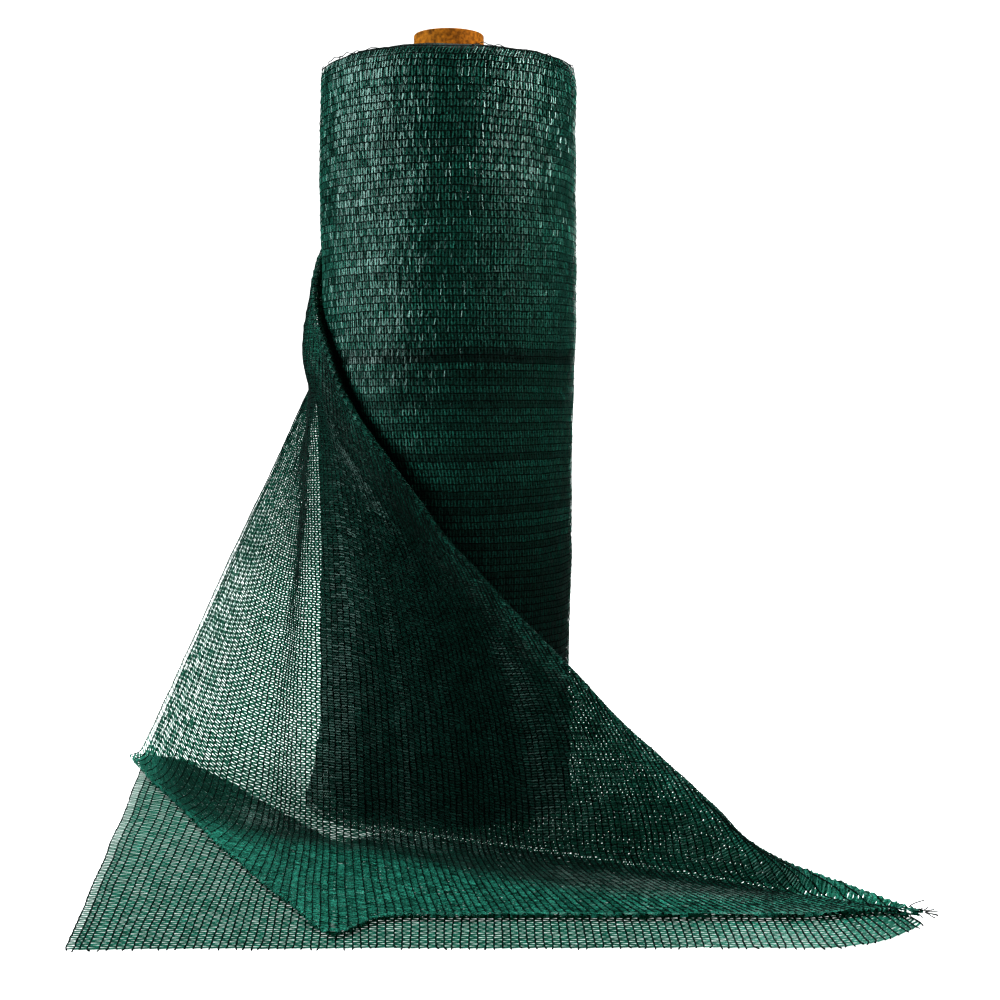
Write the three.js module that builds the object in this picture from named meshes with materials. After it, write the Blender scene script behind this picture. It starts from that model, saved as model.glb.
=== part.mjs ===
// Roll of knitted shade netting, standing on end, its loose end folded over and laid out in front.
// Millimetres, Z up. The roll's axis is the Z axis while the pieces are made; at the end
// the whole is moved so that the origin lies at the middle of the footprint, on the floor.
//
// A line of stitches that runs along the net's length is called a wale. u names a wale by
// its place across the net's width: 0 is the bottom selvedge of the roll, 1 the top one.
import * as THREE from 'three';

// Driving sizes
const NET_WIDTH = 1000;
const CORE_RADIUS = 47.5;
const CORE_WALL = 9.5;
const CORE_TOP = 1050;
const FIT_GAP = 0.3;
const SEGMENTS = 72;
const SHEET_THICK = 2;

// The loose end leaves the roll at its back, wraps round the left side a little off the
// roll, and runs straight to the tip once it has passed the front left.
const WRAP_RADIUS = 180.5;
const WRAP_GAP = 1.1;
const WRAP_FROM = 84;
const WRAP_FREE = 168;
const TIP_X = 538;
const TIP_Y = -478;
const FOLD_TOP = 5;
const FOLD_TIP = 2.6;
const FLARE = 24;
const FLARE_TOP = 150;

// Heights of the middles of the three layers on the floor
const CUT_LAYER = 1;
const MIDDLE_LAYER = 5.2;
const TOP_LAYER = 9.4;

// Cut edge
const CUT_LEFT = -376;
const CUT_RIGHT = 522;
const CUT_Y = -557;
const CUT_TIP_RISE = 63;
const CUT_TIP_FROM = 0.13;

const DEG = Math.PI / 180;

// Outer radius of the wound net by height
const ROLL_PROFILE = [
  { z: 0, r: 158 },
  { z: 2, r: 162.5 },
  { z: 7, r: 165.6 },
  { z: 20, r: 166.3 },
  { z: 250, r: 166.5 },
  { z: 430, r: 167.6 },
  { z: 540, r: 170.6 },
  { z: 640, r: 173 },
  { z: 800, r: 173.8 },
  { z: 940, r: 173 },
  { z: 988, r: 172.4 },
  { z: 997, r: 171 },
  { z: 1001, r: 168 },
  { z: 1002, r: 161 },
];

// Top end of the wound net, from the rim in to the core
const ROLL_TOP_FACE = [
  { r: 140, z: 998 },
  { r: 112, z: 1000.5 },
  { r: 84, z: 997.5 },
  { r: 62, z: 1000 },
];

// One row for each wale that shapes the loose end. fold: how far round the wrap the wale
// turns over the diagonal fold, from the roll's left side. bulge: how far the soft fold
// swells there. knee: where the hanging flap meets the floor. hem: front fold on the
// floor. back: the fold behind it, under the flap.
const WALES = [
  { u: 1.0, fold: -272, bulge: 0, kneeX: -487, kneeY: 180, hemX: -499, hemY: 178, backX: -480, backY: 196 },
  { u: 0.95, fold: -230, bulge: 2, kneeX: -426, kneeY: 72, hemX: -438, hemY: 50, backX: -406, backY: 146 },
  { u: 0.875, fold: -166, bulge: 5, kneeX: -320, kneeY: -92, hemX: -338, hemY: -140, backX: -290, backY: -14 },
  { u: 0.81, fold: -100, bulge: 9, kneeX: -241, kneeY: -165, hemX: -250, hemY: -300, backX: -228, backY: -106 },
  { u: 0.745, fold: -30, bulge: 11, kneeX: -192, kneeY: -180, hemX: -170, hemY: -434, backX: -174, backY: -180 },
  { u: 0.69, fold: 34, bulge: 11, kneeX: -146, kneeY: -198, hemX: -108, hemY: -534, backX: -132, backY: -236 },
  { u: 0.64, fold: 84, bulge: 10, kneeX: -98, kneeY: -216, hemX: -58, hemY: -491, backX: -86, backY: -208 },
  { u: 0.556, fold: 143, bulge: 8, kneeX: -22, kneeY: -248, hemX: 22, hemY: -486, backX: 16, backY: -238 },
  { u: 0.487, fold: 201, bulge: 6, kneeX: 34, kneeY: -268, hemX: 84, hemY: -485, backX: 82, backY: -264 },
  { u: 0.396, fold: 282, bulge: 5, kneeX: 98, kneeY: -292, hemX: 166, hemY: -485, backX: 164, backY: -299 },
  { u: 0.326, fold: 352, bulge: 4, kneeX: 156, kneeY: -318, hemX: 229, hemY: -485, backX: 228, backY: -330 },
  { u: 0.271, fold: 415, bulge: 3, kneeX: 200, kneeY: -337, hemX: 278, hemY: -485, backX: 278, backY: -354 },
  { u: 0.202, fold: 492, bulge: 2, kneeX: 250, kneeY: -358, hemX: 340, hemY: -485, backX: 338, backY: -384 },
  { u: 0.159, fold: 544, bulge: 1, kneeX: 286, kneeY: -374, hemX: 378, hemY: -484, backX: 374, backY: -402 },
  { u: 0.105, fold: 618, bulge: 0, kneeX: 340, kneeY: -398, hemX: 424, hemY: -480, backX: 418, backY: -424 },
  { u: 0.073, fold: 660, bulge: 0, kneeX: 378, kneeY: -414, hemX: 450, hemY: -474, backX: 444, backY: -437 },
  { u: 0.048, fold: 692, bulge: 0, kneeX: 412, kneeY: -428, hemX: 472, hemY: -470, backX: 466, backY: -448 },
  { u: 0.026, fold: 752, bulge: 0, kneeX: 450, kneeY: -446, hemX: 494, hemY: -470, backX: 488, backY: -456 },
  { u: 0.0, fold: 878, bulge: 0, kneeX: 516, kneeY: -476, hemX: 522, hemY: -482, backX: 516, backY: -474 },
];

// Steps of the loose end's surface
const WALE_STEPS = 34;
const WRAP_STEPS = 26;
const WRAP_ARC_SHARE = 0.8;
const FOLD_STEPS = 5;
const FLAP_STEPS = 12;
const KNEE_STEPS = 4;
const FLOOR_STEPS = 2;
const TURN_STEPS = 4;
const MIDDLE_STEPS = 3;
const CUT_STEPS = 4;

const clamp = (t) => Math.min(1, Math.max(0, t));
const smooth = (t) => clamp(t) * clamp(t) * (3 - 2 * clamp(t));
const mix = (a, b, t) => a + (b - a) * t;

// Smooth curve through rows of a table sorted by key, up or down
function readTable(rows, key, column, at) {
  const sign = Math.sign(rows[rows.length - 1][key] - rows[0][key]);
  let i = 0;
  while (i < rows.length - 2 && sign * (at - rows[i + 1][key]) > 0) i += 1;
  const slope = (a, b) => (rows[b][column] - rows[a][column]) / (rows[b][key] - rows[a][key]);
  const last = rows.length - 1;
  const span = rows[i + 1][key] - rows[i][key];
  const t = clamp((at - rows[i][key]) / span);
  const m0 = slope(Math.max(0, i - 1), i + 1) * span;
  const m1 = slope(i, Math.min(last, i + 2)) * span;
  const t2 = t * t;
  const t3 = t2 * t;
  return (2 * t3 - 3 * t2 + 1) * rows[i][column] + (t3 - 2 * t2 + t) * m0
    + (3 * t2 - 2 * t3) * rows[i + 1][column] + (t3 - t2) * m1;
}

// The wound net is not quite round
function rollRadius(angle, z) {
  const profile = readTable(ROLL_PROFILE, 'z', 'r', z);
  return profile + 0.7 * Math.cos(2 * angle + 0.6) + 0.5 * Math.cos(3 * angle - z / 260);
}

// Where the straight run to the tip leaves the wrap
const tipDistance = Math.hypot(TIP_X, TIP_Y);
const freeAngle = Math.atan2(TIP_Y, TIP_X) - Math.acos(WRAP_RADIUS / tipDistance) + 2 * Math.PI;
const freeRun = (freeAngle - Math.PI) * WRAP_RADIUS;
const wrapStart = (WRAP_FROM * DEG - Math.PI) * WRAP_RADIUS;

// Point of the wrap at a run and height, with its outward normal
function wrapPoint(run, z) {
  const angle = Math.min(freeAngle, Math.PI + run / WRAP_RADIUS);
  const outward = new THREE.Vector3(Math.cos(angle), Math.sin(angle), 0);
  const forward = new THREE.Vector3(-Math.sin(angle), Math.cos(angle), 0);
  const off = smooth((angle / DEG - WRAP_FROM) / (WRAP_FREE - WRAP_FROM));
  const onRoll = rollRadius(angle, Math.min(NET_WIDTH - 60, Math.max(20, z))) + SHEET_THICK / 2 + WRAP_GAP;
  const flare = FLARE * off * clamp(1 - z / FLARE_TOP) ** 2 * clamp(1 - (run - freeRun) / 250);
  const point = outward.clone().multiplyScalar(mix(onRoll, WRAP_RADIUS, off) + flare);
  point.addScaledVector(forward, Math.max(0, run - freeRun));
  point.z = z;
  return { point, outward };
}

function cutPoint(u) {
  const tip = clamp(1 - u / CUT_TIP_FROM);
  return new THREE.Vector3(mix(CUT_RIGHT, CUT_LEFT, u), CUT_Y + CUT_TIP_RISE * tip ** 2 - 5 * u * u, CUT_LAYER);
}

// Half turn of a wale over a flat fold on the floor, from one layer down to the next
function halfTurn(path, at, into, out, fromZ, toZ) {
  const bulge = into.clone().sub(out).normalize();
  const radius = (fromZ - toZ) / 2;
  for (let k = 1; k < TURN_STEPS; k += 1) {
    const a = Math.PI * k / TURN_STEPS;
    const p = at.clone().addScaledVector(bulge, radius * Math.sin(a));
    p.z = (fromZ + toZ) / 2 + radius * Math.cos(a);
    path.push(p);
  }
}

// The whole way of one wale, from the roll's back to the cut edge
function walePath(u) {
  const row = (column) => readTable(WALES, 'u', column, u);
  const path = [];
  const fold = row('fold');
  const soft = mix(FOLD_TIP, FOLD_TOP, smooth((u - 0.05) / 0.6));
  const height = mix(8, NET_WIDTH, u);
  const nearTip = (run) => smooth((run - fold + 160) / 160);
  const wrapHeight = (run) => mix(u * NET_WIDTH, height, nearTip(run));

  const arcEnd = Math.min(freeRun, mix(wrapStart, fold, 0.85));
  for (let k = 0; k < WRAP_STEPS; k += 1) {
    const t = k / WRAP_STEPS;
    const run = t < WRAP_ARC_SHARE
      ? mix(wrapStart, arcEnd, t / WRAP_ARC_SHARE)
      : mix(arcEnd, fold, (t - WRAP_ARC_SHARE) / (1 - WRAP_ARC_SHARE));
    path.push(wrapPoint(run, wrapHeight(run)).point);
  }

  // over the diagonal fold, sliding along it
  const step = 0.02;
  const lower = readTable(WALES, 'u', 'fold', clamp(u - step));
  const upper = readTable(WALES, 'u', 'fold', clamp(u + step));
  const fall = Math.atan2(NET_WIDTH * (clamp(u + step) - clamp(u - step)), lower - upper);
  const slide = Math.PI * soft;
  const overFold = (a) => {
    const along = slide * a / Math.PI;
    const run = fold + along * Math.cos(fall) + soft * Math.sin(a) * Math.sin(fall);
    const z = height - along * Math.sin(fall) * clamp(u * 12) + soft * Math.sin(a) * Math.cos(fall);
    const at = wrapPoint(run, z);
    return { point: at.point.addScaledVector(at.outward, soft * (1 - Math.cos(a))), outward: at.outward };
  };
  for (let k = 0; k < FOLD_STEPS; k += 1) path.push(overFold(Math.PI * k / FOLD_STEPS).point);
  const start = overFold(Math.PI);

  // the flap hangs down to its knee
  const knee = new THREE.Vector3(row('kneeX'), row('kneeY'), TOP_LAYER);
  const hem = new THREE.Vector3(row('hemX'), row('hemY'), TOP_LAYER);
  const drop = start.point.z - TOP_LAYER;
  const reach = Math.min(42, 0.4 * Math.max(drop, 4), 0.7 * knee.distanceTo(hem));
  const power = mix(2, 1, smooth((u - 0.62) / 0.2));
  const flapEnd = clamp(1 - reach / Math.max(drop, 6));
  const flapPoint = (t) => {
    const side = 1 - (1 - t) ** power;
    const p = start.point.clone().lerp(knee, side);
    p.z = mix(start.point.z, TOP_LAYER, t);
    const swell = row('bulge') * Math.exp(-(((drop * t - 80) / 45) ** 2));
    return p.addScaledVector(start.outward, swell);
  };
  for (let k = 0; k <= FLAP_STEPS; k += 1) path.push(flapPoint(flapEnd * k / FLAP_STEPS));
  const hang = flapPoint(flapEnd);
  const intoHem = hem.clone().sub(knee).normalize();
  const lie = knee.clone().addScaledVector(intoHem, reach);
  for (let k = 1; k <= KNEE_STEPS; k += 1) {
    const t = k / KNEE_STEPS;
    path.push(hang.clone().multiplyScalar((1 - t) ** 2)
      .addScaledVector(knee, 2 * t * (1 - t))
      .addScaledVector(lie, t * t));
  }

  // the pleat on the floor: front fold, back fold, cut edge
  const back = new THREE.Vector3(row('backX'), row('backY'), MIDDLE_LAYER);
  const cut = cutPoint(u);
  for (let k = 1; k <= FLOOR_STEPS; k += 1) path.push(lie.clone().lerp(hem, k / FLOOR_STEPS));
  const flat = (v) => new THREE.Vector3(v.x, v.y, 0);
  const toBack = flat(back).sub(flat(hem)).normalize();
  halfTurn(path, hem, intoHem, toBack, TOP_LAYER, MIDDLE_LAYER);
  const under = new THREE.Vector3(hem.x, hem.y, MIDDLE_LAYER);
  const arch = 0.14 * smooth((u - 0.66) / 0.1) * under.distanceTo(back);
  for (let k = 0; k <= MIDDLE_STEPS; k += 1) {
    const t = k / MIDDLE_STEPS;
    const p = under.clone().lerp(back, t);
    p.y += arch * 4 * t * (1 - t);
    path.push(p);
  }
  const toCut = flat(cut).sub(flat(back)).normalize();
  halfTurn(path, back, toBack, toCut, MIDDLE_LAYER, CUT_LAYER);
  const below = new THREE.Vector3(back.x, back.y, CUT_LAYER);
  for (let k = 0; k <= CUT_STEPS; k += 1) path.push(below.clone().lerp(cut, k / CUT_STEPS));
  return path;
}

// Closed solid of one thickness on a grid of points
function thickSheet(grid, thick) {
  const rows = grid.length;
  const columns = grid[0].length;
  const positions = [];
  const indices = [];
  for (const side of [-1, 1]) {
    for (let i = 0; i < rows; i += 1) {
      for (let j = 0; j < columns; j += 1) {
        const across = grid[Math.min(rows - 1, i + 1)][j].clone().sub(grid[Math.max(0, i - 1)][j]);
        const along = grid[i][Math.min(columns - 1, j + 1)].clone().sub(grid[i][Math.max(0, j - 1)]);
        const normal = across.cross(along).normalize();
        const p = grid[i][j].clone().addScaledVector(normal, side * thick / 2);
        positions.push(p.x, p.y, Math.max(0, p.z));
      }
    }
  }
  const at = (side, i, j) => side * rows * columns + i * columns + j;
  const quad = (a, b, c, d) => indices.push(a, b, c, a, c, d);
  for (let i = 0; i < rows - 1; i += 1) {
    for (let j = 0; j < columns - 1; j += 1) {
      quad(at(1, i, j), at(1, i + 1, j), at(1, i + 1, j + 1), at(1, i, j + 1));
      quad(at(0, i, j), at(0, i, j + 1), at(0, i + 1, j + 1), at(0, i + 1, j));
    }
  }
  for (let j = 0; j < columns - 1; j += 1) {
    quad(at(1, 0, j), at(1, 0, j + 1), at(0, 0, j + 1), at(0, 0, j));
    quad(at(1, rows - 1, j + 1), at(1, rows - 1, j), at(0, rows - 1, j), at(0, rows - 1, j + 1));
  }
  for (let i = 0; i < rows - 1; i += 1) {
    quad(at(1, i + 1, 0), at(1, i, 0), at(0, i, 0), at(0, i + 1, 0));
    quad(at(1, i, columns - 1), at(1, i + 1, columns - 1), at(0, i + 1, columns - 1), at(0, i, columns - 1));
  }
  const geometry = new THREE.BufferGeometry();
  geometry.setAttribute('position', new THREE.Float32BufferAttribute(positions, 3));
  geometry.setIndex(indices);
  geometry.computeVertexNormals();
  return geometry;
}

// Ring turned about Z from a closed outline of radius and height
function turned(outline) {
  const points = outline.map(([r, z]) => new THREE.Vector2(r, z));
  points.push(points[0].clone());
  const geometry = new THREE.LatheGeometry(points, SEGMENTS);
  geometry.rotateX(Math.PI / 2);
  return geometry;
}

function coreTube() {
  const bore = CORE_RADIUS - CORE_WALL;
  const edge = 0.8;
  return turned([
    [bore, 0], [CORE_RADIUS, 0], [CORE_RADIUS, CORE_TOP - edge], [CORE_RADIUS - edge, CORE_TOP],
    [bore + edge, CORE_TOP], [bore, CORE_TOP - edge],
  ]);
}

function nettingRoll() {
  const inner = CORE_RADIUS + FIT_GAP;
  const outline = [[inner, 0]];
  for (const { z, r } of ROLL_PROFILE) outline.push([r, z]);
  for (const { r, z } of ROLL_TOP_FACE) outline.push([r, z]);
  outline.push([inner, 997]);
  const geometry = turned(outline);
  const position = geometry.attributes.position;
  for (let i = 0; i < position.count; i += 1) {
    const x = position.getX(i);
    const y = position.getY(i);
    const r = Math.hypot(x, y);
    if (r < 150) continue;
    const angle = Math.atan2(y, x);
    const z = position.getZ(i);
    const grow = 1 + (rollRadius(angle, z) - readTable(ROLL_PROFILE, 'z', 'r', z)) / r;
    position.setXY(i, x * grow, y * grow);
  }
  return geometry;
}

function looseSheet() {
  const grid = [];
  for (let i = 0; i <= WALE_STEPS; i += 1) grid.push(walePath(i / WALE_STEPS));
  return thickSheet(grid, SHEET_THICK);
}

function piece(name, geometry, color, roughness) {
  const mesh = new THREE.Mesh(geometry, new THREE.MeshStandardMaterial({ color, roughness, metalness: 0 }));
  mesh.name = name;
  return mesh;
}

const group = new THREE.Group();
group.add(piece('core_tube', coreTube(), 0xc07a3a, 0.85));
group.add(piece('netting_roll', nettingRoll(), 0x0b3a30, 0.6));
group.add(piece('loose_sheet', looseSheet(), 0x14564a, 0.6));

const reach = new THREE.Box3().setFromObject(group);
group.position.set(-(reach.min.x + reach.max.x) / 2, -(reach.min.y + reach.max.y) / 2, 0);

export default group;
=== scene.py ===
import math

import bpy
import numpy as np
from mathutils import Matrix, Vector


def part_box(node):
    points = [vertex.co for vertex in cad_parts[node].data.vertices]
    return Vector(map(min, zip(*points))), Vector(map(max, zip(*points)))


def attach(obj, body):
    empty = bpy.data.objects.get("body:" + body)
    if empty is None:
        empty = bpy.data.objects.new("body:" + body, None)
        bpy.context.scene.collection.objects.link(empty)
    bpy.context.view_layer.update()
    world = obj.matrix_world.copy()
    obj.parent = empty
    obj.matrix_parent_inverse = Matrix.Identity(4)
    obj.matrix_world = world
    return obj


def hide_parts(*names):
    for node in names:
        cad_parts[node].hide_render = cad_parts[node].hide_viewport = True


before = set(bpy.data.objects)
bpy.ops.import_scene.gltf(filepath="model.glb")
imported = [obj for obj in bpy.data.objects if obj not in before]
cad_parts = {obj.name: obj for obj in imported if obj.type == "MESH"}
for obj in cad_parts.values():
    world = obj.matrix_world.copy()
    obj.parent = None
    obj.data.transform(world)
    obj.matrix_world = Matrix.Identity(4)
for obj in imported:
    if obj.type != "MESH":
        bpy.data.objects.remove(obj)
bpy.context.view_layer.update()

# Roll of knitted shade netting, its loose end folded over and laid out in front.
# The net is made of its real threads: wales, which are the lines of stitches along its
# length, and the flat tapes that cross from each wale to the next. Lengths here are in
# millimetres from the roll's axis, and place() brings them into the part's frame.
#
# u names a wale by its place across the width: 0 is the roll's bottom selvedge, 1 its top.
# A run is a length along a wale.

CORE_LOW, CORE_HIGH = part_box("core_tube")
AXIS = (np.array(CORE_LOW) + np.array(CORE_HIGH)) / 2 * [1, 1, 0]

# The same driving sizes as the solids
NET_WIDTH = 1000
CORE_RADIUS = 47.5
SHEET_THICK = 2
WRAP_RADIUS = 180.5
WRAP_GAP = 1.1
WRAP_FROM = 84
WRAP_FREE = 168
CREASE_HEIGHT = 613
TIP_X = 538
TIP_Y = -478
FOLD_TOP = 5
FOLD_TIP = 2.6
FLARE = 24
FLARE_TOP = 150
FLARE_FADE = 250
CUT_LAYER = 1
MIDDLE_LAYER = 5.2
TOP_LAYER = 9.4
CUT_LEFT = -376
CUT_RIGHT = 522
CUT_Y = -557
CUT_TIP_RISE = 63
CUT_TIP_FROM = 0.13

# How the loose end goes over the diagonal fold, hangs to its knee and lies in the pleat
TIP_HEIGHT = 8
NEAR_FOLD = 160
KNEE_REACH = 42
SWELL_DROP = 80
SWELL_REACH = 45
PLEAT_SAG = 0.14
WRAP_STEPS = 90
FLAP_STEPS = 42

# The knit: wales, the lines between them that tapes follow over a fold, and thread sizes
GAPS = 104
PARTS = 6
WALE_RADIUS = 1.0
WALE_STEP = 7.0
WALE_LOWEST = 1.3
TAPE_LOWEST = 0.2
ROUND_STEPS = 240

# How the tapes lie: pitch, breadth as a share of the pitch, how far each half is turned up,
# and brightness. The hanging tapes' low brightness is painted shade, and the laid tapes' high
# brightness is painted light
HUNG = {"pitch": 3.3, "breadth": 0.97, "crease": math.radians(24), "tone": 0.3}
LAID = {"pitch": 5.8, "breadth": 0.84, "crease": math.radians(6), "tone": 1.5}
CUT = {"pitch": 5.8, "breadth": 0.87, "crease": math.radians(6), "tone": 0.85}
HUNG_UNTIL = 1070
LAID_FROM = 1140
ZIGZAG = 0.14

# The two outermost turns of the roll: how deep they lie, how far their wales are shifted up,
# and their tone. The under turn's low tone is painted shade
TURNS = [
    {"name": "outer", "sunk": -0.3, "shift": 2, "phase": 0.0, "tone": 0.95},
    {"name": "under", "sunk": 1.7, "shift": 6.5, "phase": 1.7, "tone": 0.25},
]
TURN_LAY = {"pitch": 4.2, "breadth": 0.5, "crease": math.radians(9)}
BANDS_HEIGHT = 450
BANDS_REACH = 160
# how far the painted shade of the crease reaches
CREASE_SHADE_REACH = 9

# Columns that differ: open ones at the selvedges, closer ones at the tip
SELVEDGE_SHARE = 0.72
TIP_CLOSER = 0.14
TIP_ROWS = 9

# Tapes near a fold. Bent tapes get painted light against the shade of the fold
FOLD_REACH = 10
FOLD_PAINTED_LIGHT = 1.7
# Painted highlight in a band along the diagonal fold: how much lighter, and how far
FOLD_HIGHLIGHT = 1.4
FOLD_HIGHLIGHT_REACH = 35
MOST_TONE = 1.6
NO_FOLD = 1e9
LAID_UP_TO = 12

# Loose thread: wales that stand past the cut edge, ends at the tip, this far back from it,
# a tuft near the tip, and loops along the roll's top rim
CUT_ENDS = (1, 7)
CUT_ENDS_LEAN = 1.6
TIP_ENDS = (22, 14, 6)
TUFT_AT = (343, -378, 58)
WISP_SPREAD = 0.35
WISP_RADIUS = 0.75
RIM_LOOPS = 40
RIM_HEIGHT = 999
LOOP_RADIUS = 0.6
LOOP_STEPS = 14

# The wales low on the roll make the wall to the tip, and their tapes are lighter
WALL_LIGHT = 0.7
WALL_UP_TO = 0.36
WALL_FADE = 0.2

SEED = 11

# The deeper turns of the roll, with the edges of turns on their upper end
TURNS_SUNK = 3.6
TURNS_LOW = 0.6
TURNS_WALL = 992
TURNS_TOP = 998
TURNS_OUTER = 168
TURNS_STEP = 1.6
ROLL_SEGMENTS = 192

# Outer radius of the wound net by height
ROLL_PROFILE = [
    {"z": 0, "r": 158},
    {"z": 2, "r": 162.5},
    {"z": 7, "r": 165.6},
    {"z": 20, "r": 166.3},
    {"z": 250, "r": 166.5},
    {"z": 430, "r": 167.6},
    {"z": 540, "r": 170.6},
    {"z": 640, "r": 173},
    {"z": 800, "r": 173.8},
    {"z": 940, "r": 173},
    {"z": 988, "r": 172.4},
    {"z": 997, "r": 171},
    {"z": 1001, "r": 168},
    {"z": 1002, "r": 161},
]

# Camera and lights. Places are in metres from the foot of the roll's axis, and each area
# light looks at a height on the axis. Angles are in degrees.
CAMERA = {"at": (0.0695, -1.9824, 0.5794), "down": 4.67, "lens": 51.3}
SUN = {"power": 2.4, "breadth": 25, "turn": -10}
AREA_LIGHTS = [
    {
        "name": "left_box", "at": (-2.2, -0.75, 1.4), "aim": 0.75,
        "size": (1.2, 1.8), "power": 16, "spread": 70, "colour": (0.9, 1, 1),
    },
    {
        "name": "right_strip", "at": (1.5, -0.72, 1.5), "aim": 0.85,
        "size": (0.25, 0.6), "power": 2.2, "spread": 40, "colour": (1, 1, 1),
    },
    {
        "name": "back_box", "at": (0.3, 2.3, 1.3), "aim": 0.5,
        "size": (1.6, 1.6), "power": 34, "spread": 180, "colour": (1, 1, 1),
    },
]

# One row for each wale that shapes the loose end: where it turns over the diagonal fold,
# how far the soft fold swells, where it meets the floor, the front fold, the fold behind.
# From u .556 to .105 the fold behind lies 5 to 8 mm nearer the wall's foot than the solid's.
WALES = [
    {"u": 1.0, "fold": -272, "bulge": 0, "knee": (-487, 180), "hem": (-499, 178), "back": (-480, 196)},
    {"u": 0.95, "fold": -230, "bulge": 2, "knee": (-426, 72), "hem": (-438, 50), "back": (-406, 146)},
    {"u": 0.875, "fold": -166, "bulge": 5, "knee": (-320, -92), "hem": (-338, -140), "back": (-290, -14)},
    {"u": 0.81, "fold": -100, "bulge": 9, "knee": (-241, -165), "hem": (-250, -300), "back": (-228, -106)},
    {"u": 0.745, "fold": -30, "bulge": 11, "knee": (-192, -180), "hem": (-170, -434), "back": (-174, -180)},
    {"u": 0.69, "fold": 34, "bulge": 11, "knee": (-146, -198), "hem": (-108, -534), "back": (-132, -236)},
    {"u": 0.64, "fold": 84, "bulge": 10, "knee": (-98, -216), "hem": (-58, -491), "back": (-86, -208)},
    {"u": 0.556, "fold": 143, "bulge": 8, "knee": (-22, -248), "hem": (22, -486), "back": (16, -231)},
    {"u": 0.487, "fold": 201, "bulge": 6, "knee": (34, -268), "hem": (84, -485), "back": (82, -256)},
    {"u": 0.396, "fold": 282, "bulge": 5, "knee": (98, -292), "hem": (166, -485), "back": (164, -291)},
    {"u": 0.326, "fold": 352, "bulge": 4, "knee": (156, -318), "hem": (229, -485), "back": (228, -323)},
    {"u": 0.271, "fold": 415, "bulge": 3, "knee": (200, -337), "hem": (278, -485), "back": (278, -347)},
    {"u": 0.202, "fold": 492, "bulge": 2, "knee": (250, -358), "hem": (340, -485), "back": (338, -378)},
    {"u": 0.159, "fold": 544, "bulge": 1, "knee": (286, -374), "hem": (378, -484), "back": (374, -396)},
    {"u": 0.105, "fold": 618, "bulge": 0, "knee": (340, -398), "hem": (424, -480), "back": (418, -419)},
    {"u": 0.073, "fold": 660, "bulge": 0, "knee": (378, -414), "hem": (450, -474), "back": (444, -437)},
    {"u": 0.048, "fold": 692, "bulge": 0, "knee": (412, -428), "hem": (472, -470), "back": (466, -448)},
    {"u": 0.026, "fold": 752, "bulge": 0, "knee": (450, -446), "hem": (494, -470), "back": (488, -456)},
    {"u": 0.0, "fold": 878, "bulge": 0, "knee": (516, -476), "hem": (522, -482), "back": (516, -474)},
]


def smooth(t):
    t = np.clip(t, 0, 1)
    return t * t * (3 - 2 * t)


def mix(a, b, t):
    return a + (b - a) * t


def bump(x, at, reach):
    """A soft rise to 1 round one place."""
    return np.exp(-(((x - at) / reach) ** 2))


def unit(vectors):
    return vectors / np.maximum(np.linalg.norm(vectors, axis=-1, keepdims=True), 1e-9)


def read_table(rows, key, column, at):
    """Smooth curve through a table's rows, as the solids read theirs."""
    keys = np.array([row[key] for row in rows], float)
    values = np.array([row[column] for row in rows], float)
    if keys[-1] < keys[0]:
        keys, values = keys[::-1], values[::-1]
    at = np.clip(at, keys[0], keys[-1])
    last = len(keys) - 1
    i = np.clip(np.searchsorted(keys, at, side="right") - 1, 0, last - 1)
    before, after = np.maximum(i - 1, 0), np.minimum(i + 2, last)
    flat = values.ndim == 1
    span = keys[i + 1] - keys[i]
    t = (at - keys[i]) / span
    up, down = span / (keys[i + 1] - keys[before]), span / (keys[after] - keys[i])
    if not flat:
        t, up, down = (np.asarray(number)[..., None] for number in (t, up, down))
    m0 = (values[i + 1] - values[before]) * up
    m1 = (values[after] - values[i]) * down
    return (
        (2 * t**3 - 3 * t**2 + 1) * values[i]
        + (t**3 - 2 * t**2 + t) * m0
        + (3 * t**2 - 2 * t**3) * values[i + 1]
        + (t**3 - t**2) * m1
    )


def roll_radius(angle, z):
    """The wound net is not quite round."""
    profile = read_table(ROLL_PROFILE, "z", "r", z)
    return profile + 0.7 * np.cos(2 * angle + 0.6) + 0.5 * np.cos(3 * angle - z / 260)


TIP_DISTANCE = math.hypot(TIP_X, TIP_Y)
FREE_ANGLE = math.atan2(TIP_Y, TIP_X) - math.acos(WRAP_RADIUS / TIP_DISTANCE) + 2 * math.pi
FREE_RUN = (FREE_ANGLE - math.pi) * WRAP_RADIUS
WRAP_START = (math.radians(WRAP_FROM) - math.pi) * WRAP_RADIUS


def wrap_point(run, z):
    """Points of the wrap round the roll and of the straight run to the tip, and their normals."""
    angle = np.minimum(FREE_ANGLE, math.pi + run / WRAP_RADIUS)
    outward = np.stack([np.cos(angle), np.sin(angle), np.zeros_like(angle)], -1)
    forward = np.stack([-np.sin(angle), np.cos(angle), np.zeros_like(angle)], -1)
    off = smooth((np.degrees(angle) - WRAP_FROM) / (WRAP_FREE - WRAP_FROM))
    on_roll = roll_radius(angle, np.clip(z, 20, NET_WIDTH - 60)) + SHEET_THICK / 2 + WRAP_GAP
    flare = FLARE * off * np.clip(1 - z / FLARE_TOP, 0, 1) ** 2
    flare = flare * np.clip(1 - (run - FREE_RUN) / FLARE_FADE, 0, 1)
    radius = mix(on_roll, WRAP_RADIUS, off) + flare
    points = outward * radius[..., None] + forward * np.maximum(0, run - FREE_RUN)[..., None]
    points[..., 2] = z
    return points, outward


def cut_point(u):
    tip = np.clip(1 - u / CUT_TIP_FROM, 0, 1)
    y = CUT_Y + CUT_TIP_RISE * tip**2 - 5 * u * u
    return np.array([mix(CUT_RIGHT, CUT_LEFT, u), y, CUT_LAYER])


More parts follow.
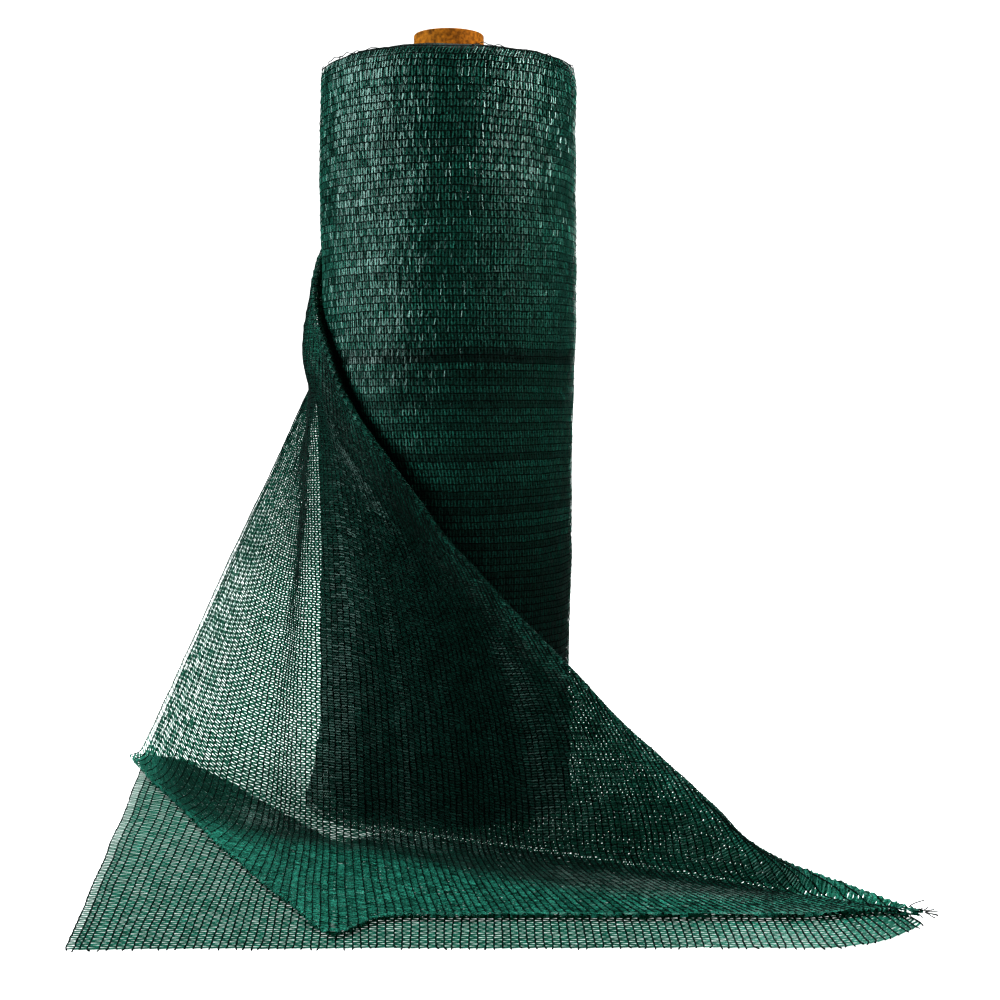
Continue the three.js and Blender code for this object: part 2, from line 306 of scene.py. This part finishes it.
def half_turn(at, into, out, from_z, to_z, count=6):
    """Half turn of a wale over a flat fold on the floor, from one layer down to the next."""
    bulge = unit(into - out)
    a = np.pi * np.arange(1, count) / count
    radius = (from_z - to_z) / 2
    points = at + radius * np.sin(a)[:, None] * bulge
    points[:, 2] = (from_z + to_z) / 2 + radius * np.cos(a)
    return points


def steps(a, b, count, first=0):
    t = np.arange(first, count + 1)[:, None] / count
    return a + (b - a) * t


def wale_path(u):
    """One wale's whole way from the roll's back to the cut edge, in two parts that meet in the
    fold behind the front fold: (the hanging and folded part, the bottom layer, the places of
    the diagonal fold and of the front fold in the first part)."""
    fold = float(read_table(WALES, "u", "fold", u))
    soft = mix(FOLD_TIP, FOLD_TOP, smooth((u - 0.05) / 0.6))
    height = mix(TIP_HEIGHT, NET_WIDTH, u)

    run = np.linspace(WRAP_START, fold, WRAP_STEPS, endpoint=False)
    near_fold = smooth((run - fold + NEAR_FOLD) / NEAR_FOLD)
    parts = [wrap_point(run, mix(u * NET_WIDTH, height, near_fold))[0]]

    # over the diagonal fold, sliding along it
    lower_u, upper_u = np.clip([u - 0.02, u + 0.02], 0, 1)
    lower, upper = read_table(WALES, "u", "fold", np.array([lower_u, upper_u]))
    fall = math.atan2(NET_WIDTH * (upper_u - lower_u), lower - upper)
    a = np.linspace(0, np.pi, 10)
    along = soft * a
    over_run = fold + along * math.cos(fall) + soft * np.sin(a) * math.sin(fall)
    over_z = height - along * math.sin(fall) * min(1, u * 12) + soft * np.sin(a) * math.cos(fall)
    over, outward = wrap_point(over_run, over_z)
    over += outward * (soft * (1 - np.cos(a)))[:, None]
    parts.append(over[:-1])
    start, outward = over[-1], outward[-1]

    # the flap hangs down to its knee
    knee = np.append(read_table(WALES, "u", "knee", u), TOP_LAYER)
    hem = np.append(read_table(WALES, "u", "hem", u), TOP_LAYER)
    drop = start[2] - TOP_LAYER
    reach = min(KNEE_REACH, 0.4 * max(drop, 4), 0.7 * np.linalg.norm(knee - hem))
    power = mix(2, 1, smooth((u - 0.62) / 0.2))
    swell = float(read_table(WALES, "u", "bulge", u))
    t = np.linspace(0, np.clip(1 - reach / max(drop, 6), 0, 1), FLAP_STEPS)[:, None]
    flap = start + (knee - start) * (1 - (1 - t) ** power)
    flap[:, 2] = mix(start[2], TOP_LAYER, t[:, 0])
    flap += outward * swell * bump(drop * t, SWELL_DROP, SWELL_REACH)
    parts.append(flap)
    into_hem = unit(hem - knee)
    lie = knee + into_hem * reach
    t = np.arange(1, 11)[:, None] / 10
    parts.append(flap[-1] * (1 - t) ** 2 + knee * 2 * t * (1 - t) + lie * t * t)

    # the pleat on the floor: front fold, back fold, cut edge
    back = np.append(read_table(WALES, "u", "back", u), MIDDLE_LAYER)
    cut = cut_point(u)
    level = np.array([1, 1, 0])
    to_back = unit((back - hem) * level)
    to_cut = unit((cut - back) * level)
    parts.append(steps(lie, hem, 8, 1))
    hem_at = sum(map(len, parts))
    parts.append(half_turn(hem, into_hem, to_back, TOP_LAYER, MIDDLE_LAYER))
    under = np.append(hem[:2], MIDDLE_LAYER)
    middle = steps(under, back, 14)
    t = np.linspace(0, 1, 15)
    sag = PLEAT_SAG * smooth((u - 0.66) / 0.1) * np.linalg.norm(back - under)
    middle[:, 1] += sag * 4 * t * (1 - t)
    parts.append(middle)
    turn = half_turn(back, to_back, to_cut, MIDDLE_LAYER, CUT_LAYER)
    parts.append(turn[:3])
    bottom = np.concatenate([turn[3:], steps(np.append(back[:2], CUT_LAYER), cut, 24)])
    return np.concatenate(parts), bottom, [len(parts[0]), hem_at]


# Slow unevenness of all the cloth. It is the same for layers that lie on each other, so
# they keep their distance.
SWAYS = [
    {"length": 310, "size": 1.3},
    {"length": 150, "size": 1.0},
    {"length": 72, "size": 0.8},
    {"length": 38, "size": 0.5},
]


def sway(points):
    waves = np.random.default_rng(SEED)
    moved = np.zeros_like(points)
    for row in SWAYS:
        for _ in range(4):
            way = unit(waves.normal(size=3))
            across = unit(waves.normal(size=3))
            phase = waves.uniform(0, 2 * np.pi)
            wave = np.sin(points @ way * 2 * np.pi / row["length"] + phase)
            moved += wave[..., None] * across * row["size"] * 0.5
    lift = smooth((points[..., 2] - 12) / 80)
    moved[..., 2] *= lift
    return points + moved


class Thread:
    """A line of points that can be read at any run along it."""

    def __init__(self, points, folds=()):
        lengths = np.linalg.norm(np.diff(points, axis=0), axis=1)
        self.points = points
        self.runs = np.append(0, np.cumsum(lengths))
        self.length = self.runs[-1]
        self.folds = [self.runs[int(k)] if k < len(points) else k for k in folds]

    def at(self, run):
        return np.stack([np.interp(run, self.runs, self.points[:, k]) for k in range(3)], -1)


def raised(points, lowest):
    """Points kept at a least height above the floor."""
    return np.maximum(points, [-np.inf, -np.inf, lowest])


def place(points):
    return points / 1000 + AXIS


def add_mesh(name, points, faces, material, tone=None, rounded=True):
    """A piece of the object: points in millimetres from the axis, faces as lists of indices."""
    mesh = bpy.data.meshes.new(name)
    mesh.from_pydata(place(points).tolist(), [], faces)
    mesh.materials.append(material)
    mesh.polygons.foreach_set("use_smooth", np.full(len(faces), rounded))
    if tone is not None:
        attribute = mesh.attributes.new("tone", "FLOAT", "POINT")
        attribute.data.foreach_set("value", tone.astype(np.float32))
    piece = bpy.data.objects.new(name, mesh)
    bpy.context.scene.collection.objects.link(piece)
    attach(piece, "root")
    return piece


class Batch:
    """Gathers many small surfaces into one mesh."""

    def __init__(self):
        self.points, self.faces, self.tones, self.count = [], [], [], 0

    def add(self, points, faces, tones=None):
        self.faces.extend((faces + self.count).tolist())
        self.points.append(points)
        if tones is not None:
            self.tones.append(tones)
        self.count += len(points)

    def piece(self, name, material, rounded=True):
        tones = np.concatenate(self.tones) if self.tones else None
        return add_mesh(name, np.concatenate(self.points), self.faces, material, tones, rounded)


def add_tapes(batch, stations, dice, breadths, tilt_size, crease, tone):
    """Tapes that run through stations, from one wale to the next. A station is (points,
    unit directions along the wale). A tape is creased lengthwise, each half turned up by
    about the angle crease."""
    count, tapes = len(stations), len(breadths)
    tilt = dice.normal(0, tilt_size, tapes)[:, None]
    crease = (crease + dice.normal(0, tilt_size, tapes))[:, None]
    half = (breadths / 2)[:, None]
    corners = []
    for k, (points, along) in enumerate(stations):
        after, before = stations[min(k + 1, count - 1)][0], stations[max(k - 1, 0)][0]
        normal = unit(np.cross(along, after - before))
        out = np.where(points[:, 2:] > LAID_UP_TO, points * [1, 1, 0], [0, 0, 1])
        normal *= np.sign((normal * out).sum(-1, keepdims=True))
        side = along * np.cos(tilt) + normal * np.sin(tilt)
        ridge = half * np.sin(crease)
        for way, rise in ((-1, -0.3), (0, 0.7), (1, -0.3)):
            corners.append(points + side * half * np.cos(crease) * way + normal * ridge * rise)
    first = np.arange(tapes)[:, None] * count * 3
    starts = [3 * k + i for k in range(count - 1) for i in (0, 1)]
    faces = np.concatenate([first + [a, a + 3, a + 4, a + 1] for a in starts])
    tones = np.repeat(tone * dice.uniform(0.7, 1.3, tapes), count * 3)
    batch.add(raised(np.stack(corners, 1).reshape(-1, 3), TAPE_LOWEST), faces, tones)


def ring_faces(rings, sides):
    """Quads between rings of points, from each ring to the next."""
    i = (np.arange(rings - 1) * sides)[:, None]
    k = np.arange(sides)[None]
    n = (k + 1) % sides
    return np.stack([i + k, i + n, i + n + sides, i + k + sides], -1).reshape(-1, 4)


def add_tube(batch, points, across, radius):
    """A closed thin tube of three sides along a line; across is any direction that the line
    isn't in."""
    along = unit(np.gradient(points, axis=0))
    one = unit(across - (across * along).sum(-1, keepdims=True) * along)
    two = np.cross(along, one)
    a = np.arange(3) * 2 * np.pi / 3
    radius = np.broadcast_to(radius, len(points))
    ring = np.cos(a)[None, :, None] * one[:, None] + np.sin(a)[None, :, None] * two[:, None]
    corners = points[:, None] + ring * radius[:, None, None]
    last = (len(points) - 1) * 3
    caps = np.array([[0, 2, 1], [last, last + 1, last + 2]])
    batch.faces.extend((caps + batch.count).tolist())
    batch.add(corners.reshape(-1, 3), ring_faces(len(points), 3))


# Directions that no line of each kind runs in
UP = np.array([0, 0, 1.0])
NEARLY_UP = np.array([0.3, 0.2, 0.93])


def add_wisps(batch, dice, at, way, count, reach):
    """A few short loose thread ends at one place, heading roughly one way."""
    t = np.linspace(0, 1, 6)[:, None]
    for _ in range(count):
        heading = unit(np.array(way) + dice.normal(0, WISP_SPREAD, 3))
        curl = dice.normal(0, WISP_SPREAD, 3)
        start = np.array(at) + dice.normal(0, 1.5, 3)
        points = start + reach * dice.uniform(0.5, 1) * (heading * t + curl * t * t)
        add_tube(batch, raised(points, WALE_LOWEST), NEARLY_UP, WISP_RADIUS)


def around(radius, angle, z):
    """Points round the axis."""
    return np.stack([radius * np.cos(angle), radius * np.sin(angle), z], -1)


def add_rim_loops(batch, dice):
    """Loops of the selvedge that stand up along the top rim of the roll."""
    t = np.linspace(0, 1, LOOP_STEPS)
    for _ in range(RIM_LOOPS):
        start = dice.uniform(0, 2 * np.pi)
        angle = start + np.linspace(0, dice.uniform(0.1, 0.35), LOOP_STEPS)
        radius = roll_radius(angle, 997) - dice.uniform(0, 9)
        z = RIM_HEIGHT + dice.uniform(2, 5) * np.sin(np.pi * t) + 0.8 * np.sin(5 * np.pi * t)
        add_tube(batch, around(radius, angle, z), UP, LOOP_RADIUS)


def at_courses(thread, runs, width):
    """Points of a wale at the given runs, and the wale's direction there."""
    points = thread.at(runs)
    along = unit(thread.at(runs + width) - thread.at(runs - width))
    return points, along


def laid_share(run):
    """0 where the net hangs, 1 where it lies."""
    return smooth((run - HUNG_UNTIL) / (LAID_FROM - HUNG_UNTIL))


def hanging_weave(longest):
    """The tapes of the hanging part: close together where the net hangs, and further apart
    where it lies stretched on the floor. Their tone goes from painted shade where the net hangs
    to painted light where it lies."""
    runs = [1.0]
    while runs[-1] < longest:
        runs.append(runs[-1] + mix(HUNG["pitch"], LAID["pitch"], laid_share(runs[-1])))
    runs = np.array(runs)
    laid = laid_share(runs)
    lay = {key: mix(HUNG[key], LAID[key], laid) for key in ("breadth", "crease", "tone")}
    return {"runs": runs, "tilt": 0.09, "uneven": 0.04, **lay}


def even_weave(first, longest, lay, tilt, uneven):
    """Tapes that all lie alike."""
    runs = np.arange(first, longest, lay["pitch"])
    same = {key: np.full(len(runs), lay[key]) for key in ("breadth", "crease", "tone")}
    return {"runs": runs, "tilt": tilt, "uneven": uneven, **same}


def column_share(row, rows):
    """How wide the tapes of a column are, as a share of the others."""
    if row in (0, rows - 1):
        return SELVEDGE_SHARE
    return 1 + TIP_CLOSER * (row < TIP_ROWS)


def bent_tapes(gap, runs):
    """Which tapes lie by a fold or by the end of the lines, and so follow all the lines."""
    bent = runs > min(line.length for line in gap) - FOLD_REACH / 2
    for fold in np.array([line.folds for line in gap]).T:
        bent |= (runs > fold.min() - FOLD_REACH) & (runs < fold.max() + FOLD_REACH)
    return bent


def knit(lines, weave, rows, dice, batch):
    """Crosses every pair of neighbouring wales with tapes. lines holds the wales and more
    lines between each two, which the tapes follow over the folds. rows holds a share of the
    tone for each gap between wales. Tapes reach the end of the longest line of a gap, so a
    slanting fold has no steps."""
    runs, uneven = weave["runs"], weave["uneven"]
    pitch = np.gradient(runs)
    turn = np.where(np.arange(len(runs)) % 2, ZIGZAG, -ZIGZAG) * pitch
    for row, first in enumerate(range(0, len(lines) - 1, PARTS)):
        gap = lines[first:first + PARTS + 1]
        both = runs < max(line.length for line in gap) - 0.5
        bent = bent_tapes(gap, runs)
        jitter = dice.normal(0, uneven, len(runs)) * pitch
        spread = dice.uniform(1 - uneven, 1 + uneven, len(runs))
        breadths = pitch * weave["breadth"] * column_share(row, len(rows)) * spread
        for chosen, stops in ((both & ~bent, (0, PARTS)), (both & bent, range(PARTS + 1))):
            if not chosen.any():
                continue
            stations = []
            for stop in stops:
                run = runs[chosen] + jitter[chosen] + turn[chosen] * (2 * stop / PARTS - 1)
                stations.append(at_courses(gap[stop], np.minimum(run, gap[stop].length - 1), 1.0))
            # painted light on bent tapes, only where all the bent tapes of a gap are past the run
            # HUNG_UNTIL
            painted_lift = stops != (0, PARTS) and runs[chosen].min() > HUNG_UNTIL
            tones = weave["tone"][chosen] * rows[row] * (FOLD_PAINTED_LIGHT if painted_lift else 1)
            past_fold = runs[chosen] - gap[0].folds[0]
            # painted highlight in a band just past the diagonal fold
            tones *= 1 + FOLD_HIGHLIGHT * bump(past_fold, FOLD_HIGHLIGHT_REACH, FOLD_HIGHLIGHT_REACH)
            tones = np.minimum(tones, MOST_TONE)
            crease = weave["crease"][chosen]
            add_tapes(batch, stations, dice, breadths[chosen], weave["tilt"], crease, tones)


def wale_places():
    """u of every wale. The outermost columns by each selvedge are closer together."""
    u = np.arange(GAPS + 1) / GAPS
    pull = 0.25 / GAPS
    u[2] -= pull
    u[3] -= 1.4 * pull
    u[-3] += pull
    u[-4] += 1.4 * pull
    return u


def between(places):
    """The places of the wales, and of the other lines between each two."""
    shares = np.arange(PARTS) / PARTS
    filled = (places[:-1, None] + np.diff(places)[:, None] * shares).ravel()
    return np.append(filled, places[-1])


def flat_area(wales):
    """Square metres that a run of cloth takes when it lies flat."""
    column = NET_WIDTH / GAPS
    return sum(a.length + b.length for a, b in zip(wales, wales[1:])) / 2 * column / 1e6


def loose_end():
    """The loose end of the net: tapes and wales, and the threads left at its cut edge."""
    dice = np.random.default_rng(SEED + 1)
    hanging, bottom = [], []
    for u in between(wale_places()):
        upper, lower, folds = wale_path(u)
        hanging.append(Thread(sway(upper), folds))
        bottom.append(Thread(sway(lower)[::-1], [NO_FOLD]))
    tapes, cut = Batch(), Batch()
    wall = smooth((WALL_UP_TO - np.arange(GAPS) / GAPS) / WALL_FADE)
    rows = dice.uniform(0.9, 1.1, GAPS) * (1 + WALL_LIGHT * wall)
    knit(hanging, hanging_weave(max(line.length for line in hanging)), rows, dice, tapes)
    weave = even_weave(1.5, max(line.length for line in bottom), CUT, 0.03, 0.03)
    knit(bottom, weave, rows, dice, cut)
    net = tapes.piece("loose_net", TAPE, rounded=False)
    cut_net = cut.piece("cut_layer_net", TAPE, rounded=False)

    hanging, bottom = hanging[::PARTS], bottom[::PARTS]
    lines = Batch()
    for upper, lower in zip(hanging, bottom):
        lean = dice.normal(0, CUT_ENDS_LEAN, 3) * [1, 0, 0]
        last = lower.points[0] + lean + [0, -dice.uniform(*CUT_ENDS), 0]
        thread = Thread(np.concatenate([upper.points, lower.points[::-1], [last]]))
        runs = np.append(np.arange(0, thread.length, WALE_STEP), thread.length)
        points = thread.at(runs)
        wobble = dice.normal(0, 0.25, points.shape)
        wobble[:, 2] *= 0.3
        points = raised(points + wobble, WALE_LOWEST)
        add_tube(lines, points, NEARLY_UP, WALE_RADIUS * dice.uniform(0.8, 1.2, len(points)))
    for back in TIP_ENDS:
        add_wisps(lines, dice, (TIP_X - back, TIP_Y + back / 3, 7), (1, -0.1, 0.2), 5, 13)
    add_wisps(lines, dice, TUFT_AT, (0.6, -0.3, 0.7), 6, 8)
    wales = lines.piece("loose_wales", WALE)
    return net, cut_net, wales, flat_area(hanging), flat_area(bottom)


def node_material(name):
    material = bpy.data.materials.new(name)
    material.use_nodes = True
    nodes, links = material.node_tree.nodes, material.node_tree.links
    return material, nodes, links, nodes["Principled BSDF"], nodes["Material Output"]


def grain(nodes, links, scale, detail, dark, light):
    """A fine noise, and the colours it gives between two stops of (position, colour)."""
    coordinates = nodes.new("ShaderNodeTexCoord")
    noise = nodes.new("ShaderNodeTexNoise")
    noise.inputs["Scale"].default_value = scale
    noise.inputs["Detail"].default_value = detail
    links.new(coordinates.outputs["Object"], noise.inputs["Vector"])
    ramp = nodes.new("ShaderNodeValToRGB")
    for stop, (position, colour) in zip(ramp.color_ramp.elements, (dark, light)):
        stop.position = position
        stop.color = (*colour, 1)
    links.new(noise.outputs["Fac"], ramp.inputs["Fac"])
    return noise.outputs["Fac"], ramp.outputs["Color"]


def add_bump(nodes, links, shader, height, distance):
    node = nodes.new("ShaderNodeBump")
    node.inputs["Distance"].default_value = distance
    links.new(height, node.inputs["Height"])
    links.new(node.outputs["Normal"], shader.inputs["Normal"])


def mixed(nodes, links, share, first, second):
    """Two shaders mixed. share is a number, or an output that gives it."""
    both = nodes.new("ShaderNodeMixShader")
    if isinstance(share, float):
        both.inputs["Fac"].default_value = share
    else:
        links.new(share, both.inputs["Fac"])
    links.new(first, both.inputs[1])
    links.new(second, both.inputs[2])
    return both.outputs["Shader"]


def tape_material(name, roughness, specular, tint):
    """Thin green film tape: dark, a little glossy, and it lets some green light through."""
    material, nodes, links, shader, output = node_material(name)
    tone = nodes.new("ShaderNodeAttribute")
    tone.attribute_name = "tone"
    dark, light = (0.38, (0.006, 0.040, 0.029)), (0.62, (0.034, 0.200, 0.150))
    _, colour = grain(nodes, links, 700, 1, dark, light)
    scaled = nodes.new("ShaderNodeVectorMath")
    scaled.operation = "SCALE"
    links.new(colour, scaled.inputs[0])
    links.new(tone.outputs["Fac"], scaled.inputs["Scale"])
    links.new(scaled.outputs[0], shader.inputs["Base Color"])
    shader.inputs["Roughness"].default_value = roughness
    shader.inputs["Specular IOR Level"].default_value = specular
    shader.inputs["Specular Tint"].default_value = tint
    glow = nodes.new("ShaderNodeBsdfTranslucent")
    glow.inputs["Color"].default_value = (0.03, 0.30, 0.18, 1)
    clear = nodes.new("ShaderNodeBsdfTransparent")
    clear.inputs["Color"].default_value = (0.06, 0.40, 0.25, 1)
    film = mixed(nodes, links, 0.08, shader.outputs["BSDF"], glow.outputs["BSDF"])
    film = mixed(nodes, links, 0.1, film, clear.outputs["BSDF"])
    links.new(film, output.inputs["Surface"])
    return material


def wale_material():
    """Chain of stitches of a nearly black green thread."""
    material, nodes, links, shader, _ = node_material("net_wale")
    dark, light = (0.35, (0.0005, 0.004, 0.003)), (0.75, (0.004, 0.024, 0.018))
    _, colour = grain(nodes, links, 420, 2, dark, light)
    links.new(colour, shader.inputs["Base Color"])
    shader.inputs["Roughness"].default_value = 0.6
    shader.inputs["Specular IOR Level"].default_value = 0.1
    return material


def roll_material():
    """Deeper turns of the wound net, seen between the threads of the outer turns. The colour is
    the net's own green, darkened as painted shade of the deep layers.
    """
    material, nodes, links, shader, _ = node_material("net_wound")
    dark, light = (0.4, (0.001, 0.005, 0.004)), (0.7, (0.012, 0.045, 0.036))
    height, colour = grain(nodes, links, 260, 3, dark, light)
    links.new(colour, shader.inputs["Base Color"])
    add_bump(nodes, links, shader, height, 0.001)
    shader.inputs["Roughness"].default_value = 0.5
    return material


def core_material():
    """Brown board, with darker specks."""
    material, nodes, links, shader, _ = node_material("core_board")
    dark, light = (0.3, (0.12, 0.045, 0.005)), (0.62, (0.39, 0.15, 0.013))
    height, colour = grain(nodes, links, 180, 6, dark, light)
    links.new(colour, shader.inputs["Base Color"])
    add_bump(nodes, links, shader, height, 0.0006)
    shader.inputs["Roughness"].default_value = 0.8
    shader.inputs["Specular IOR Level"].default_value = 0.15
    return material


def roll_body():
    """The deeper turns: the wound form, with the turns' edges on its upper end."""
    inner = CORE_RADIUS + 0.6
    angle = np.arange(ROLL_SEGMENTS) * 2 * np.pi / ROLL_SEGMENTS
    rings = [around(inner, angle, np.full(ROLL_SEGMENTS, TURNS_LOW))]
    for z in np.linspace(TURNS_LOW, TURNS_WALL, 150):
        radius = roll_radius(angle, z) - TURNS_SUNK
        rings.append(around(radius, angle, np.full(ROLL_SEGMENTS, z)))
    dice = np.random.default_rng(SEED + 2)
    turns = np.arange(TURNS_OUTER, inner, -TURNS_STEP)
    wander = dice.normal(0, 1.0, len(turns))
    for k, r in enumerate(turns):
        z = TURNS_TOP + wander[k] + 1.5 * (k % 2)
        z = z + 0.8 * np.sin(3 * angle + k) + 0.6 * np.sin(7 * angle + 2 * k)
        rings.append(around(r, angle, z))
    points = np.concatenate(rings)
    k = np.arange(ROLL_SEGMENTS)[None]
    n = (k + 1) % ROLL_SEGMENTS
    last = (len(rings) - 1) * ROLL_SEGMENTS
    close = np.stack([last + k, last + n, n, k], -1).reshape(-1, 4)
    faces = np.concatenate([ring_faces(len(rings), ROLL_SEGMENTS), close])
    by_core = np.hypot(points[:, 0], points[:, 1])[:, None] <= 60
    points = np.where(by_core, points, sway(points))
    return add_mesh("roll_turns", points, faces.tolist(), WOUND)


def roll_line(z, sunk, phase):
    """One wale of the wound net, once round the roll from where the loose end leaves it."""
    angle = math.radians(WRAP_FROM) + np.arange(ROUND_STEPS + 1) * 2 * np.pi / ROUND_STEPS
    rise = 1.2 * np.sin(angle + z / 90 + phase) + 0.7 * np.sin(3 * angle + z / 47)
    rise += 0.35 * np.sin(5 * angle + z / 23 + 2 * phase)
    height = np.clip(z + rise * smooth(z / 30) * smooth((1000 - z) / 30), 0.8, 1001)
    return around(roll_radius(angle, height) - sunk, angle, height)


def roll_net():
    """The two outermost turns of the wound net: a wale every few millimetres of height, and
    the tapes between them. Rows differ at random, most in the middle, and painted shade darkens
    them in the crease."""
    dice = np.random.default_rng(SEED + 3)
    places = between(wale_places())
    pieces = []
    for turn in TURNS:
        heights = np.clip(places * 996 + turn["shift"], 1, 1000)
        paths = [roll_line(z, turn["sunk"], turn["phase"]) for z in heights]
        lines = [Thread(sway(path), [NO_FOLD]) for path in paths]
        tapes, wales = Batch(), Batch()
        # the under turn's low tone is painted shade
        lay = {**TURN_LAY, "tone": turn["tone"]}
        weave = even_weave(1, min(line.length for line in lines), lay, 0.14, 0.06)
        middle = (heights[:-1:PARTS] + heights[PARTS::PARTS]) / 2
        banded = 0.1 + 0.25 * bump(middle, BANDS_HEIGHT, BANDS_REACH)
        rows = 1 + banded * dice.normal(0, 1, GAPS).clip(-1.8, 1.8)
        # painted shade in the crease
        rows *= 1 - 0.8 * bump(middle, CREASE_HEIGHT, CREASE_SHADE_REACH)
        knit(lines, weave, rows, dice, tapes)
        for line in lines[::PARTS]:
            radius = WALE_RADIUS * dice.uniform(0.5, 1.0, len(line.points))
            add_tube(wales, line.points, UP, radius)
        if turn["name"] == "outer":
            add_rim_loops(wales, dice)
        pieces.append(tapes.piece("roll_tapes_" + turn["name"], ROLL_TAPE, rounded=False))
        pieces.append(wales.piece("roll_wales_" + turn["name"], WALE))
    return pieces


def matt(shader, grey):
    shader.inputs["Base Color"].default_value = (grey, grey, grey, 1)
    shader.inputs["Roughness"].default_value = 0.9
    shader.inputs["Specular IOR Level"].default_value = 0.05


def floor():
    """A floor that looks white, and gives back only a little light to the object."""
    mesh = bpy.data.meshes.new("floor")
    size = 40
    corners = [(-size, -size, 0), (size, -size, 0), (size, size, 0), (-size, size, 0)]
    mesh.from_pydata(corners, [], [(0, 1, 2, 3)])
    plane = bpy.data.objects.new("floor", mesh)
    material, nodes, links, shader, output = node_material("pale_floor")
    matt(shader, 0.15)
    white = nodes.new("ShaderNodeBsdfPrincipled")
    matt(white, 0.9)
    white.inputs["Emission Color"].default_value = (1, 1, 1, 1)
    white.inputs["Emission Strength"].default_value = 0.62
    seen = nodes.new("ShaderNodeLightPath").outputs["Is Camera Ray"]
    both = mixed(nodes, links, seen, shader.outputs["BSDF"], white.outputs["BSDF"])
    links.new(both, output.inputs["Surface"])
    mesh.materials.append(material)
    bpy.context.scene.collection.objects.link(plane)


def area_light(row):
    data = bpy.data.lights.new(row["name"], "AREA")
    data.shape = "RECTANGLE"
    data.size, data.size_y = row["size"]
    data.energy = row["power"]
    data.spread = math.radians(row["spread"])
    data.color = row["colour"]
    light = bpy.data.objects.new(row["name"], data)
    at = AXIS + row["at"]
    light.location = at
    direction = AXIS + [0, 0, row["aim"]] - at
    yaw = math.atan2(direction[0], direction[1])
    pitch = math.atan2(direction[2], math.hypot(direction[0], direction[1]))
    light.rotation_euler = (math.pi / 2 + pitch, 0, -yaw)
    bpy.context.scene.collection.objects.link(light)


def studio():
    scene = bpy.context.scene
    world = bpy.data.worlds.new("studio")
    scene.world = world
    world.use_nodes = True
    nodes, links = world.node_tree.nodes, world.node_tree.links
    backdrop = nodes["Background"]
    backdrop.inputs["Color"].default_value = (1, 1, 1, 1)
    dim = nodes.new("ShaderNodeBackground")
    dim.inputs["Color"].default_value = (0.9, 0.95, 1, 1)
    dim.inputs["Strength"].default_value = 0.04
    seen = nodes.new("ShaderNodeLightPath").outputs["Is Camera Ray"]
    both = mixed(nodes, links, seen, dim.outputs["Background"], backdrop.outputs["Background"])
    links.new(both, nodes["World Output"].inputs["Surface"])
    scene.view_settings.view_transform = "Standard"
    scene.view_settings.look = "High Contrast"

    key = bpy.data.lights.new("key", "SUN")
    key.energy = SUN["power"]
    key.angle = math.radians(SUN["breadth"])
    sun = bpy.data.objects.new("key", key)
    sun.rotation_euler = (math.radians(SUN["turn"]), 0, 0)
    scene.collection.objects.link(sun)
    for row in AREA_LIGHTS:
        area_light(row)


def camera():
    data = bpy.data.cameras.new("camera")
    data.lens = CAMERA["lens"]
    data.sensor_width = 36
    view = bpy.data.objects.new("camera", data)
    view.location = AXIS + CAMERA["at"]
    view.rotation_euler = (math.radians(90 - CAMERA["down"]), 0, 0)
    bpy.context.scene.collection.objects.link(view)
    bpy.context.scene.camera = view


camera()
studio()
floor()

TAPE = tape_material("net_tape", 0.38, 0.2, (0.85, 1, 0.95, 1))
ROLL_TAPE = tape_material("net_tape_wound", 0.33, 0.5, (0.8, 1, 0.95, 1))
WALE = wale_material()
WOUND = roll_material()

net, cut_net, wales, hung_area, cut_area = loose_end()
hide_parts("loose_sheet")

turns = roll_body()
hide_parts("netting_roll")
for piece in [turns, *roll_net()]:
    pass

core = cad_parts["core_tube"]
core.data.materials.clear()
core.data.materials.append(core_material())
